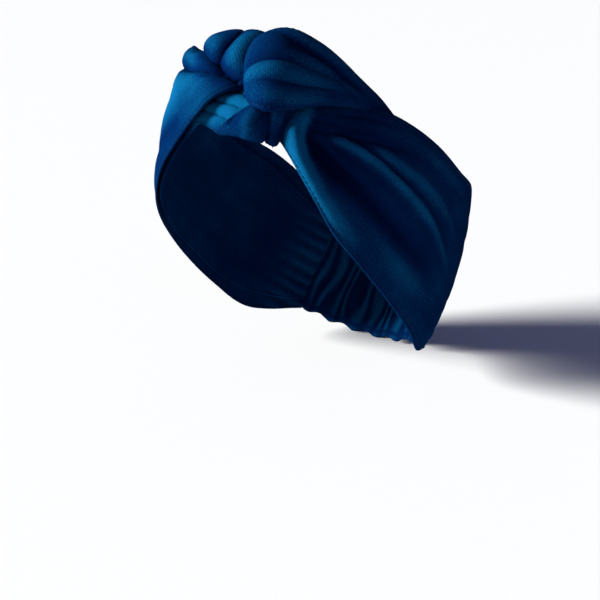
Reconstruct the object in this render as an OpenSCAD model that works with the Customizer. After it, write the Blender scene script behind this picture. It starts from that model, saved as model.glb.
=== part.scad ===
// Knotted headband. Two wide strips of stretch jersey are each folded into a U and hooked
// through one another over the brow. Their four ends are sewn to a casing at the nape, and a
// flat elastic inside the casing lets the back of the band stretch.
//
// Frame: the wearer faces -Y, +X is the wearer's left and +Z is up. The origin is the centre of
// the head at its widest level. A place on the band is written [turn, rise, lift]: turn is the
// angle round the head from the brow (0) to the nape (180), positive to the wearer's left; rise
// is measured towards the crown along the band's axis; lift is the height off the head.

/* [Head] */
// Half of the head's width
head_half_width = 72; // [60:1:86]
// Half of the head's depth, from the brow to the back
head_half_depth = 94; // [78:1:112]
// Height of the crown above the head's widest level
crown_height = 72; // [60:1:86]
// Depth to which the head's shape runs down to the neck
neck_depth = 136; // [113:1:163]
// Tilt of the band's plane, its brow side raised
band_tilt = 42; // [36:1:48]

/* [Cloth] */
// Width of a strip where it lies open over the ear
strip_width = 88; // [73:1:105]
// Thickness of a strip, which is two layers of jersey
cloth_thickness = 1.8; // [1.4:0.1:2.4]
// Gap between a strip's two legs where one lies over the other
layer_gap = 0.9; // [0.8:0.1:1.4]
// Gap between the head and the cloth next to it
head_gap = 0.4; // [0.3:0.1:1]

/* [Knot] */
// Height of the knot off the head, to the top of its upper roll
knot_height = 29; // [24:1:36]

/* [Nape] */
// Angle from the brow at which the strips end and the casing starts
casing_turn = 156; // [151:1:162]
// Rise of the casing's middle line
casing_rise = -14; // [-20:1:-8]
// Thickness of the casing's cloth
casing_wall = 0.9; // [0.7:0.1:1.2]
// Width of the seam allowance along each edge of the casing
casing_edge = 3; // [2:0.5:4]
// Width of the elastic
elastic_width = 44; // [36:1:53]
// Thickness of the elastic
elastic_thickness = 1.5; // [1.2:0.1:1.9]
// Gap between the elastic and the casing that it runs in
elastic_gap = 0.6; // [0.5:0.1:0.9]
// Room beside each edge of the elastic, inside the casing's seam allowance
elastic_room = 3; // [2:0.5:5]
// Gap between a strip's end and the casing's end, so that the nape part can move
joint_gap = 0.3; // [0.3:0.1:0.6]

/* [Thread] */
// Diameter of the sewing thread
thread_d = 0.5; // [0.4:0.1:0.6]
// Distance from a hem's edge to its row of stitches
hem_margin = 2.6; // [2:0.1:4]
// Distance from the casing's end to the row that joins it to the strips
joint_margin = 2.5; // [2:0.5:4]

/* [Hidden] */

cloth_colour = [0.03, 0.16, 0.33];
elastic_colour = [0.12, 0.13, 0.16];
thread_colour = [0.05, 0.20, 0.38];

// Steps between two stations of a strip, and points across its width
path_steps = 3;
width_points = 11;
// Steps along the casing and sides of a thread
casing_steps = 30;
thread_sides = 4;
// How square a section is: 2 is an ellipse
section_power = 3;
// Step of the finite differences along and across a strip
tiny = 0.01;

// Middle lifts of the under and over legs, and of the casing
under = head_gap + cloth_thickness / 2;
over = under + cloth_thickness + layer_gap;
nape = (under + over) / 2;
casing_thickness = elastic_thickness + 2 * elastic_gap + 2 * casing_wall;
casing_width = elastic_width + 2 * (elastic_room + casing_edge);
// What the written rises and lifts of the stations are multiplied by
wide = strip_width / 88;
tall = knot_height / 29;
// Rises of the legs' ends, which the casing's width sets
end_crown = casing_rise + casing_width / 2;
end_face = casing_rise - casing_width / 2;
end_inset = 5;
thread_lift = thread_d / 2 + 0.05;

band_front = [0, -cos(band_tilt), sin(band_tilt)];
band_up = [0, sin(band_tilt), cos(band_tilt)];

// ---- Shape of the head ----

function mix(a, b, t) = a + (b - a) * t;

function unit(v) = v / norm(v);

function scaled(v, depth) =
    [v.x / head_half_width, v.y / head_half_depth, v.z / depth];

// Distance from o along d to the half of the head whose height or depth is given
function reach(o, d, depth) =
    let (dd = scaled(d, depth), oo = scaled(o, depth))
    let (a = dd * dd, b = oo * dd, c = oo * oo - 1)
    (-b + sqrt(max(0, b * b - a * c))) / a;

function on_head(turn, rise) =
    let (d = [sin(turn), 0, 0] + cos(turn) * band_front, o = rise * band_up)
    let (p = o + reach(o, d, crown_height) * d)
    p.z >= 0 ? p : o + reach(o, d, neck_depth) * d;

function head_normal(p) =
    let (depth = p.z >= 0 ? crown_height : neck_depth)
    unit(scaled(scaled(p, depth), depth));

function place(turn, rise, lift) =
    let (p = on_head(turn, rise)) p + lift * head_normal(p);

// ---- Strips ----

// A station is the strip's section at one place along it:
// [crown turn, rise, lift, face turn, rise, lift, thickness, arch].

function flat(turn, crown, face, lift) =
    [turn, crown * wide, lift, turn, face * wide, lift, cloth_thickness, 0];

function leg_end(turn, inset, lift) =
    [turn, end_crown - inset, lift, turn, end_face + inset, lift, cloth_thickness, 0];

function fold(crown, face, thickness, arch = 0) = [
    crown[0], crown[1] * wide, crown[2] * tall,
    face[0], face[1] * wide, face[2] * tall,
    thickness * tall, arch * tall,
];

// Wearer's left: along the upper leg, over the other strip, down into the cleft, and back
// along the lower leg, which lies over the upper one past the knot.
left_path = [
    leg_end(casing_turn, end_inset, under),
    flat(141, 16, -48, under),
    flat(122, 19, -52, under),
    flat(98, 16, -48, under),
    flat(78, 15, -38, under),
    fold([64, 16.5, 1.6], [62, -14, 1.4], 2),
    fold([54, 19, 2.4], [52, 3, 2.3], 2.8),
    fold([45, 22.5, 3.8], [43, 11, 4.4], 4),
    fold([32, 23.5, 9], [31, 2, 12.5], 6.6),
    fold([20, 22.5, 17.5], [22.5, -10, 19], 8.6),
    fold([9, 21, 25], [16, -16, 23], 8.6),
    fold([3.5, 16, 25], [13, -15, 21.5], 8.4),
    fold([4.5, 6, 18.5], [10, -13, 15], 7),
    fold([6, 1, 8], [10.5, -12, 8], 5.6),
    fold([12, 1, 4.2], [14, -14, 4], 4.2),
    fold([21, 8, 4], [21, -18, 3.4], 3.8),
    fold([31, 11, 3.6], [29.5, -31, 2.4], 3),
    fold([38, 8.5, 4.6], [36, -37, 2.5], 2.6),
    fold([44, 12, 7.1], [43, -42.5, 2.8], 2.4),
    fold([51, 16.5, 6.4], [51, -47, 3.9], 2),
    flat(62, 19.5, -50, over + 0.5),
    flat(77, 21, -53, over),
    flat(99, 22, -56, over),
    flat(122, 28, -58, over),
    flat(141, 25, -58, over),
    leg_end(casing_turn, 0, over),
];

// Wearer's right: along the outer leg, up round the cleft, under the other strip's roll,
// down over the brow, under again, and back along the inner leg.
right_path = [
    leg_end(-casing_turn, 0, over),
    flat(-141, 25, -58, over),
    flat(-122, 28, -58, over),
    flat(-98, 24, -56, over),
    flat(-76, 22, -54, over),
    fold([-60, 23, 4.4], [-54, -52, 3.8], 1.8),
    fold([-47, 23.5, 5.8], [-34, -48, 4], 1.8, 0.5),
    fold([-38, 20.5, 10], [-19, -37, 5.8], 2, 1.5),
    fold([-31, 17, 18], [-10, -27.5, 9.2], 2.2, 1.2),
    fold([-25, 15, 16.2], [-5, -21, 12.2], 3.4, 0.5),
    fold([-19, 17, 19.6], [-1.5, -14.5, 14.2], 5, 1),
    fold([-11, 19.5, 20.5], [1.5, -6, 14.8], 6),
    fold([-3, 21.5, 18.5], [1, 0.5, 12], 6),
    fold([7, 22.5, 13.5], [4, 8.5, 9.5], 5.4),
    fold([18, 14, 9.6], [12.5, 3, 11], 5.2),
    fold([21.5, 3, 9], [14, -5, 12], 5),
    fold([23, -7, 9], [13, -11, 14], 5),
    fold([23, -14, 8.6], [9, -16, 15], 5),
    fold([22.5, -20, 7.6], [5, -22, 12.5], 4.2),
    fold([20, -24.5, 5.4], [2, -26, 7.5], 3.4),
    fold([13, -22, 2.6], [0, -26, 3.4], 3),
    fold([2.5, -6, 3.4], [-4, -24, 2.8], 3.6),
    fold([-6, 2, 4], [-9, -22, 2.4], 3.6),
    fold([-14, 7, 3.2], [-15, -28, 2], 2.8),
    fold([-24, 13, 2.2], [-24, -41, 1.6], 2),
    flat(-38, 17, -49, under),
    flat(-55, 17, -51, under),
    flat(-76, 17, -52, under),
    flat(-98, 18, -52, under),
    flat(-122, 21, -53, under),
    flat(-141, 17, -49, under),
    leg_end(-casing_turn, end_inset, under),
];

function spline(a, b, c, d, t) =
    0.5 * (2 * b + (c - a) * t + (2 * a - 5 * b + 4 * c - d) * t ^ 2
        + (3 * b - a - 3 * c + d) * t ^ 3);

function station(path, u) =
    let (last = len(path) - 1, i = max(0, min(last - 1, floor(u))))
    spline(path[max(0, i - 1)], path[i], path[i + 1], path[min(last, i + 2)], u - i);

function middle(path, u, v) =
    let (s = station(path, u))
    place(mix(s[0], s[3], v), mix(s[1], s[4], v), mix(s[2], s[5], v) + s[7] * 4 * v * (1 - v));

function middle_normal(path, u, v) =
    let (last = len(path) - 1, u0 = max(0, u - tiny), u1 = min(last, u + tiny))
    let (v0 = max(0, v - tiny), v1 = min(1, v + tiny))
    unit(cross(middle(path, u1, v) - middle(path, u0, v),
        middle(path, u, v1) - middle(path, u, v0)));

// Half thickness at v, as a share of the greatest
function fullness(v) = (1 - abs(2 * v - 1) ^ section_power) ^ (1 / section_power);

// A point of the strip's surface: side is 1, -1 or 0 for the middle
function skin(path, u, v, side, extra = 0) =
    middle(path, u, v)
    + side * (fullness(v) * station(path, u)[6] / 2 + extra) * middle_normal(path, u, v);

// Evenly spaced by angle, so that the rounded edges have enough points
function across(i) = (1 - cos(180 * i / (width_points - 1))) / 2;

function strip_ring(path, u) = [
    for (i = [0 : width_points - 1]) skin(path, u, across(i), 1),
    for (i = [width_points - 2 : -1 : 1]) skin(path, u, across(i), -1),
];

// Faces round a tube of rings that have m points each
function wall_faces(rings, m) = [
    for (j = [0 : rings - 2], k = [0 : m - 1])
        let (a = j * m + k, b = j * m + (k + 1) % m)
        each [[a, b, b + m], [a, b + m, a + m]],
];

// Faces that close a flat section, whose upper side holds the first points of its ring
function lid_faces(base, m, upper) = [
    for (i = [0 : upper - 2])
        let (a = base + i, b = base + i + 1)
        let (c = base + (m - i - 1) % m, d = base + (m - i) % m)
        each concat(i == 0 ? [] : [[a, c, d]], c == b ? [] : [[a, b, c]]),
];

function turned(faces) = [for (f = faces) [f[2], f[1], f[0]]];

module solid(rings, upper) {
    m = len(rings[0]);
    last = (len(rings) - 1) * m;
    faces = concat(
        wall_faces(len(rings), m),
        turned(lid_faces(0, m, upper)),
        lid_faces(last, m, upper));
    polyhedron([for (r = rings) each r], faces);
}

module strip(path) {
    steps = (len(path) - 1) * path_steps;
    solid([for (j = [0 : steps]) strip_ring(path, j / path_steps)], width_points);
}

// ---- Casing and elastic ----

// Angle that a distance along the casing's end takes up
function end_angle(distance) =
    distance / norm(on_head(casing_turn, casing_rise)) * 180 / PI;

casing_start = casing_turn + end_angle(joint_gap);

// Section of a flat band at the nape, as a ring of points
function nape_ring(turn, width, thickness) = [
    for (i = [0 : width_points - 1])
        let (v = across(i))
        place(turn, casing_rise + width * (0.5 - v), nape + fullness(v) * thickness / 2),
    for (i = [width_points - 2 : -1 : 1])
        let (v = across(i))
        place(turn, casing_rise + width * (0.5 - v), nape - fullness(v) * thickness / 2),
];

function nape_turns(start) =
    [for (j = [0 : casing_steps]) mix(360 - start, start, j / casing_steps)];

// ---- Thread ----

// A ring of the thread's section round p, across its direction along
function thread_ring(p, along, out) =
    let (side = unit(cross(along, out)))
    [for (k = [0 : thread_sides - 1])
        let (a = 360 * (k + 0.5) / thread_sides)
        p + thread_d / 2 * (cos(a) * side + sin(a) * out)];

// A thread through points, each with the direction that faces away from the cloth
module thread(points, outs) {
    last = len(points) - 1;
    rings = [for (j = [0 : last])
        thread_ring(points[j], points[min(last, j + 1)] - points[max(0, j - 1)], outs[j])];
    solid(rings, thread_sides / 2 + 1);
}

// A row along a strip's hem; edge is 0 at the crown hem and 1 at the face hem
module hem_row(path, edge, side) {
    steps = (len(path) - 1) * path_steps;
    us = [for (j = [0 : steps]) j / path_steps];
    v = abs(edge - hem_margin / strip_width);
    thread(
        [for (u = us) skin(path, u, v, side, thread_lift)],
        [for (u = us) side * middle_normal(path, u, v)]);
}

// A row round the casing at a distance from its middle line
module casing_row(offset) {
    turns = nape_turns(casing_start + end_angle(joint_margin + 2 * thread_d));
    lift = nape + casing_thickness / 2 + thread_lift;
    v = 0.5 - offset / casing_width;
    drop = (1 - fullness(v)) * casing_thickness / 2;
    thread(
        [for (t = turns) place(t, casing_rise + offset, lift - drop)],
        [for (t = turns) head_normal(on_head(t, casing_rise + offset))]);
}

// A row across a flat band at the nape, from one edge towards the other
module cross_row(turn, width, thickness, margin) {
    rows = 12;
    vs = [for (j = [0 : rows]) mix(margin / width, 1 - margin / width, j / rows)];
    thread(
        [for (v = vs) place(turn, casing_rise + width * (0.5 - v),
            nape + fullness(v) * thickness / 2 + thread_lift)],
        [for (v = vs) head_normal(on_head(turn, casing_rise + width * (0.5 - v)))]);
}

// ---- Sub-parts ----

module left_strip() {
    color(cloth_colour) strip(left_path);
}

module right_strip() {
    color(cloth_colour) strip(right_path);
}

module nape_casing() {
    color(cloth_colour) difference() {
        solid([for (t = nape_turns(casing_start))
            nape_ring(t, casing_width, casing_thickness)], width_points);
        solid([for (t = nape_turns(casing_start - 1))
            nape_ring(t, casing_width - 2 * casing_edge, casing_thickness - 2 * casing_wall)],
            width_points);
    }
}

module elastic_band() {
    color(elastic_colour)
        solid([for (t = nape_turns(casing_start + end_angle(joint_margin) / 2))
            nape_ring(t, elastic_width, elastic_thickness)], width_points);
}

module left_crown_hem_stitches() { color(thread_colour) hem_row(left_path, 0, 1); }

module left_face_hem_stitches() { color(thread_colour) hem_row(left_path, 1, 1); }

module right_crown_hem_stitches() { color(thread_colour) hem_row(right_path, 0, -1); }

module right_face_hem_stitches() { color(thread_colour) hem_row(right_path, 1, -1); }

module joint_row(side) {
    turn = casing_start + end_angle(joint_margin);
    color(thread_colour) cross_row(side * turn, casing_width, casing_thickness, hem_margin);
}

module left_joint_stitches() { joint_row(1); }

module right_joint_stitches() { joint_row(-1); }

module casing_crown_stitches() {
    color(thread_colour) casing_row(casing_width / 2 - casing_edge);
}

module casing_neck_stitches() {
    color(thread_colour) casing_row(casing_edge - casing_width / 2);
}

module elastic_tack(side) {
    turn = casing_start + end_angle(2 * joint_margin);
    color(thread_colour) cross_row(side * turn, elastic_width, elastic_thickness, 2 * hem_margin);
}

module elastic_left_tack() { elastic_tack(1); }

module elastic_right_tack() { elastic_tack(-1); }

left_strip();
right_strip();
nape_casing();
elastic_band();
left_crown_hem_stitches();
left_face_hem_stitches();
right_crown_hem_stitches();
right_face_hem_stitches();
left_joint_stitches();
right_joint_stitches();
casing_crown_stitches();
casing_neck_stitches();
elastic_left_tack();
elastic_right_tack();
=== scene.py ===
import logging
import math
from collections.abc import Callable
from dataclasses import dataclass, field
from enum import Enum

import bmesh
import bpy
import numpy as np
from mathutils import Matrix, Vector, noise


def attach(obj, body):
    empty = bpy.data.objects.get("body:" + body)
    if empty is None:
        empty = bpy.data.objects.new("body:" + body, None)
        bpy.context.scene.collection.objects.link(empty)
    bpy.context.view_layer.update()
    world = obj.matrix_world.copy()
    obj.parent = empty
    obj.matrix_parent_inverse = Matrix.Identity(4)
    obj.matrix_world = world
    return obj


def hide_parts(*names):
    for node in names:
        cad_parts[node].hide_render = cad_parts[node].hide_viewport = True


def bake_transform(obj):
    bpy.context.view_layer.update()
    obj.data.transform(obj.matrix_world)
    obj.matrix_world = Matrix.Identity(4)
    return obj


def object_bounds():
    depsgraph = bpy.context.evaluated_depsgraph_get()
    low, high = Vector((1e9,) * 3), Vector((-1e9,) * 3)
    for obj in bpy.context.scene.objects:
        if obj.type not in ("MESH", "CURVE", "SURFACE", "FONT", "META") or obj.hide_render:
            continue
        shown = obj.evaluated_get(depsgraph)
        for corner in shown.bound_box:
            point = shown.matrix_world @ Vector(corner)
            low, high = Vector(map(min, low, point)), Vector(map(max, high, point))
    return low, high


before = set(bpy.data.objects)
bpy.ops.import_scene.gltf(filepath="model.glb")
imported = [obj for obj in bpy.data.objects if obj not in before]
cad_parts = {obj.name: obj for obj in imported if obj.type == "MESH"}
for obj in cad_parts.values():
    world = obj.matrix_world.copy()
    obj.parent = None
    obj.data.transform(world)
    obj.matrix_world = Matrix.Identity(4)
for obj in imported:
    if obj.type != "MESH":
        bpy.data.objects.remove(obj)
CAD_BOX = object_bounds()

"""Looks of a knotted headband: two wide strips of stretch jersey, hooked through one another
over the brow, and a gathered casing at the nape.

Places on the band are written [turn, rise, lift]: turn is the angle in degrees round the head
from the brow, positive to the wearer's left; rise is in millimetres towards the crown along the
band's axis; lift is the height in millimetres off the head. Meshes are in metres.
"""

log = logging.getLogger("headband")

MM = 0.001
FULL_TURN = 2 * math.pi

Array = np.ndarray
Pair = tuple[np.ndarray, np.ndarray]
Socket = bpy.types.NodeSocket
Piece = bpy.types.Object
Material = bpy.types.Material
Colour = tuple[float, float, float]
Place = tuple[float, float, float]
Seam = list[Pair]
"""Lines of stitches, each as points and outward directions, in millimetres."""


# ---------------- Shape of the head


@dataclass(frozen=True)
class HeadForm:
    """The head that the band is worn on: an ellipsoid with a shallower upper half.

    The band's own ring is tilted, its brow side raised, and its places are turned into points
    of the frame here.
    """

    half_width: float = 72.0
    half_depth: float = 94.0
    crown_height: float = 72.0
    neck_depth: float = 136.0
    band_tilt: float = 42.0

    def axes(self) -> tuple[Array, Array, Array]:
        """The ring's side, front and up directions."""
        tilt = math.radians(self.band_tilt)
        return (
            np.array([1.0, 0.0, 0.0]),
            np.array([0.0, -math.cos(tilt), math.sin(tilt)]),
            np.array([0.0, math.sin(tilt), math.cos(tilt)]),
        )

    def on_head(self, turn: Array, rise: Array) -> Array:
        """Points of the head's surface.

        Args:
            turn: Angles round the head, in degrees.
            rise: Rises towards the crown, in millimetres.

        Returns:
            Points in millimetres, with one more axis than the arguments.
        """
        side, front, up = self.axes()
        angle = np.radians(np.asarray(turn, float))[..., None]
        way = np.sin(angle) * side + np.cos(angle) * front
        start = np.asarray(rise, float)[..., None] * up
        found = [self._reach(start, way, depth) for depth in (self.crown_height, self.neck_depth)]
        return np.where(found[0][..., 2:] >= 0, found[0], found[1])

    def _reach(self, start: Array, way: Array, depth: float) -> Array:
        """Where lines leave an ellipsoid.

        Args:
            start: Points inside it.
            way: Directions of the lines.
            depth: The ellipsoid's half height.

        Returns:
            Points of its surface.
        """
        size = np.array([self.half_width, self.half_depth, depth])
        o, d = start / size, way / size
        a, b, c = (d * d).sum(-1), (o * d).sum(-1), (o * o).sum(-1) - 1.0
        far = (-b + np.sqrt(np.maximum(b * b - a * c, 0.0))) / a
        return start + far[..., None] * way

    def normals(self, points: Array) -> Array:
        """Outward directions of the head's surface at points on it."""
        depth = np.where(points[..., 2:] >= 0, self.crown_height, self.neck_depth)
        halves = (self.half_width, self.half_depth, depth)
        return unit(np.concatenate([points[..., k : k + 1] / h**2 for k, h in enumerate(halves)], axis=-1))

    def place(self, turn: Array, rise: Array, lift: Array) -> Array:
        """Points at a lift off the head, in millimetres."""
        points = self.on_head(turn, rise)
        return points + np.asarray(lift, float)[..., None] * self.normals(points)


HEAD = HeadForm()


def unit(vectors: Array) -> Array:
    """The vectors with length 1; a vector of no length stays as it is."""
    length = np.linalg.norm(vectors, axis=-1, keepdims=True)
    return vectors / np.where(length > 1e-12, length, 1.0)


def distances(points: Array) -> Array:
    """Distance of each point of a line from its start, measured along it."""
    return np.concatenate([[0.0], np.cumsum(np.linalg.norm(np.diff(points, axis=0), axis=1))])


def smooth_step(x: Array, low: float, high: float) -> Array:
    """0 below low, 1 above high, and a smooth rise between them."""
    t = np.clip((np.asarray(x, float) - low) / (high - low), 0.0, 1.0)
    return t * t * (3.0 - 2.0 * t)


def drawn_to_hems(count: int, pull: float) -> Array:
    """Places across a cloth from 0 to 1, drawn closer together towards both hems by a pull."""
    t = np.linspace(0.0, 1.0, count)
    return t - pull * np.sin(FULL_TURN * t) / FULL_TURN


def rounded(v: Array, power: float) -> Array:
    """Share of the full thickness across a cloth, from 0 at its hems to 1 along its middle."""
    return (1.0 - np.abs(2 * v - 1) ** power) ** (1 / power)


def bell(edge: Array, middle: float, width: float) -> Array:
    """A bell shape across a cloth, 1 at a distance from its edge, for grooves and beads."""
    return np.exp(-(((edge - middle) / width) ** 2))


def closing_ends(middle: Array, length: float) -> tuple[Array, Array, Array]:
    """How a cloth's ends close.

    Args:
        middle: Points of its middle layer, rows along it.
        length: Length in millimetres over which an end closes.

    Returns:
        Distance of each row from the start, from the nearer end, and its share of the thickness.
    """
    along = distances(middle[:, middle.shape[1] // 2])
    ends = np.minimum(along, along[-1] - along)
    return along, ends, (np.minimum(1.0, ends / length) ** 0.5)[:, None]


def noise_over(x: Array, y: Array, seed: float) -> Array:
    """Smooth noise from -1 to 1 over a grid."""
    return np.array([[noise.noise(Vector((a, b, seed))) for b in y] for a in x])


def add_object(name: str, data: bpy.types.ID) -> Piece:
    """Puts a new object in the scene, at the origin."""
    made = bpy.data.objects.new(name, data)
    bpy.context.scene.collection.objects.link(made)
    return made


# ---------------- Folds


class Profile(Enum):
    """How a fold's height falls off beside its line."""

    ROUND = "round"
    SHARP = "sharp"


@dataclass(frozen=True)
class Fold:
    """A ridge or a crease that runs along a line on the band.

    The line's points are [turn, rise, height]: a positive height is a ridge and a negative
    height is a crease. The span keeps it to one stretch of the strip, by station number.
    """

    profile: Profile
    width: float
    span: tuple[float, float]
    line: tuple[Place, ...]
    fade: float = 0.25
    steps_between: int = 10

    def heights(self, on_head: Array, stations: Array) -> Array:
        """How far the fold lifts each point of a strip.

        Args:
            on_head: The strip's points brought down to the head, rows along the strip.
            stations: The station number of each row.

        Returns:
            Heights in millimetres, one for each point.
        """
        low, high = self.span
        share = smooth_step(stations, low - self.fade, low + self.fade)
        share = share * (1.0 - smooth_step(stations, high - self.fade, high + self.fade))
        rows = np.nonzero(share > 0.0)[0]
        lifted = np.zeros(on_head.shape[:2])
        if not len(rows):
            return lifted
        corners = np.array(self.line, float)
        last = len(corners) - 1
        at = np.linspace(0.0, last, self.steps_between * last + 1)
        turn, rise, height = (np.interp(at, range(last + 1), corners[:, k]) for k in range(3))
        path = HEAD.on_head(turn, rise)
        gap = np.linalg.norm(on_head[rows][:, :, None, :] - path, axis=-1)
        near = gap.argmin(-1)
        away = gap.min(-1) / self.width
        fall = np.exp(-away * away) if self.profile is Profile.ROUND else np.exp(-away)
        lifted[rows] = height[near] * fall * share[rows][:, None]
        return lifted


def ridge(width: float, span: tuple[float, float], *line: Place) -> Fold:
    """A rounded ridge or, with negative heights, a rounded valley."""
    return Fold(Profile.ROUND, width, span, line)


def crease(width: float, span: tuple[float, float], *line: Place) -> Fold:
    """A sharp crease between two rounded lobes."""
    return Fold(Profile.SHARP, width, span, line)


# ---------------- Meshes from a grid


@dataclass
class Skin:
    """A cloth skin, as rings of points over its outer layer and back along its inner one.

    Merging closes the first and last rings, which are flat. A ring's first and last points are
    the two layers at the crown hem, with a slit as fine as the hem's relief between them. cloth
    holds each point's place on the flat cloth in metres, and fold how raised or sunk it is, from
    1 to -1.
    """

    rings: Array
    cloth: Array
    # fold drives the jersey's painted shade where the cloth is sunk and painted highlight where it is
    # raised
    fold: Array

    @classmethod
    def wrapped(cls, layers: Pair, flat: Pair, folds: Pair) -> "Skin":
        """Joins an outer and an inner layer of cloth into rings.

        Args:
            layers: Points of the outer and the inner layer, rows along the cloth.
            flat: Distances along and across the flat cloth, in millimetres.
            folds: How raised the points of the outer and the inner layer are.

        Returns:
            The skin round both layers.
        """
        back = slice(-2, None, -1)
        rings, fold = (np.concatenate([outer, inner[:, back]], axis=1) for outer, inner in (layers, folds))
        along, across = flat
        across = np.concatenate([across, across[back]])
        cloth = np.stack(np.broadcast_arrays(along[:, None], across), -1) * MM
        return cls(rings, cloth, np.clip(fold, -1.0, 1.0))

    def mesh(self, name: str) -> Piece:
        """Wraps a flat grid round the rings and closes its ends.

        Args:
            name: The new object's name.

        Returns:
            The object, at the origin, with its cloth map and its fold attribute.
        """
        rows, columns = self.rings.shape[:2]
        bm = bmesh.new()
        bmesh.ops.create_grid(bm, x_segments=rows - 1, y_segments=columns - 1, size=1.0)
        data = bpy.data.meshes.new(name)
        bm.to_mesh(data)
        bm.free()
        flat = (np.array([point.co[:2] for point in data.vertices]) + 1.0) / 2.0
        i, j = np.rint(flat * (rows - 1, columns - 1)).astype(int).T
        data.vertices.foreach_set("co", (self.rings[i, j] * MM).ravel())
        place = data.attributes.new("cloth_place", "FLOAT2", "POINT")
        place.data.foreach_set("vector", self.cloth[i, j].ravel())
        raised = data.attributes.new("fold", "FLOAT", "POINT")
        raised.data.foreach_set("value", self.fold[i, j].astype(np.float32))

        bm = bmesh.new()
        bm.from_mesh(data)
        bmesh.ops.remove_doubles(bm, verts=bm.verts, dist=0.000004)
        bmesh.ops.dissolve_degenerate(bm, dist=0.000002, edges=bm.edges)
        bmesh.ops.recalc_face_normals(bm, faces=bm.faces)
        bm.to_mesh(data)
        bm.free()
        self._map_cloth(data)
        data.shade_smooth()
        return add_object(name, data)

    @staticmethod
    def _map_cloth(data: bpy.types.Mesh) -> None:
        """Moves each point's place on the flat cloth into the UV map.

        Args:
            data: The mesh, with its cloth_place attribute.
        """
        place = np.zeros((len(data.vertices), 2), np.float32)
        data.attributes["cloth_place"].data.foreach_get("vector", place.ravel())
        corner = np.zeros(len(data.loops), np.int32)
        data.loops.foreach_get("vertex_index", corner)
        data.uv_layers.new(name="Cloth").data.foreach_set("uv", place[corner].ravel())
        data.attributes.remove(data.attributes["cloth_place"])


@dataclass(frozen=True)
class StitchRow:
    """A row of separate stitches of sewing thread along a line of points."""

    length: float = 2.1
    pitch: float = 2.9
    thread: float = 0.42
    sides: int = 6
    look_ahead: float = 0.4
    batch: int = 12

    def mesh(self, name: str, lines: Seam) -> Piece:
        """Lays stitches along each line.

        Args:
            name: The new object's name.
            lines: The lines that the stitches follow.

        Returns:
            One object that holds all the stitches.
        """
        whole, data = bmesh.new(), bpy.data.meshes.new(name)
        for points, outs in lines:
            along = distances(points)
            count = max(2, int(along[-1] / self.pitch))
            for first in range(0, count, self.batch):
                bm = bmesh.new()
                for k in range(first, min(first + self.batch, count)):
                    middle = (k + 0.5) * along[-1] / count
                    at, out, ahead = (
                        np.array([np.interp(s, along, values[:, n]) for n in range(3)])
                        for values, s in (
                            (points, middle),
                            (outs, middle),
                            (points, middle + self.look_ahead),
                        )
                    )
                    self._stitch(bm, at, out, ahead - at)
                bm.to_mesh(data)
                bm.free()
                whole.from_mesh(data)
        whole.to_mesh(data)
        whole.free()
        data.shade_smooth()
        return add_object(name, data)

    def _stitch(self, bm: bmesh.types.BMesh, at: Array, out: Array, way: Array) -> None:
        """Adds one stitch: a short rounded thread, a little sunk in the cloth.

        Args:
            bm: The mesh that it is added to.
            at: Its middle, in millimetres.
            out: The direction out of the cloth.
            way: The direction of the row.
        """
        ahead, up = Vector(unit(way)), Vector(unit(out))
        side = up.cross(ahead).normalized()
        turned = Matrix((ahead, side, ahead.cross(side))).transposed().to_4x4()
        thick = self.thread / 2 * MM
        size = Matrix.Diagonal((self.length / 2 * MM, thick, thick, 1.0))
        lying = Matrix.Rotation(math.pi / 2, 4, "Y")
        where = Matrix.Translation(Vector(at) * MM) @ turned @ size @ lying
        sides = {"u_segments": self.sides, "v_segments": self.sides}
        bmesh.ops.create_uvsphere(bm, radius=1.0, matrix=where, **sides)


# ---------------- Shader maths


def operator(operation: str, number_first: bool = False) -> "Callable[[Value, Value | float], Value]":
    """Makes a method for one of Python's operators.

    Args:
        operation: The Math node's operation.
        number_first: True for the reflected form, as in 1 - mask.

    Returns:
        The method.
    """

    def method(self: "Value", other: "Value | float") -> "Value":
        """Adds the Math node."""
        return self.maths(operation, *((other, self) if number_first else (self, other)))

    return method


class Value:
    """A number that varies over a surface, which Python's operators turn into Math nodes."""

    def __init__(self, book: "NodeBook", socket: Socket) -> None:
        """Wraps an output socket of one of the book's nodes."""
        self.book = book
        self.socket = socket

    def maths(self, operation: str, *values: "Value | float") -> "Value":
        """A Math node on these values."""
        made = self.book.node("ShaderNodeMath", {"operation": operation}, dict(enumerate(values)))
        return Value(self.book, made.outputs[0])

    __add__ = operator("ADD")
    __radd__ = operator("ADD", number_first=True)
    __sub__ = operator("SUBTRACT")
    __rsub__ = operator("SUBTRACT", number_first=True)
    __mul__ = operator("MULTIPLY")
    __rmul__ = operator("MULTIPLY", number_first=True)
    __truediv__ = operator("DIVIDE")
    __rtruediv__ = operator("DIVIDE", number_first=True)

    def wave(self, length: float) -> "Value":
        """A wave from 0 to 1, of that length."""
        return self.maths("SINE", self * (FULL_TURN / length)) * 0.5 + 0.5

    def size(self) -> "Value":
        """The value without its sign."""
        return self.maths("ABSOLUTE", self)

    def fraction(self) -> "Value":
        """What is left after the whole number below."""
        return self.maths("FRACT", self)

    def power(self, exponent: float) -> "Value":
        """The value to a power."""
        return self.maths("POWER", self, exponent)

    def clamped(self) -> "Value":
        """The value kept from 0 to 1."""
        made = self.book.node("ShaderNodeClamp", {}, {"Value": self})
        return Value(self.book, made.outputs[0])


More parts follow.
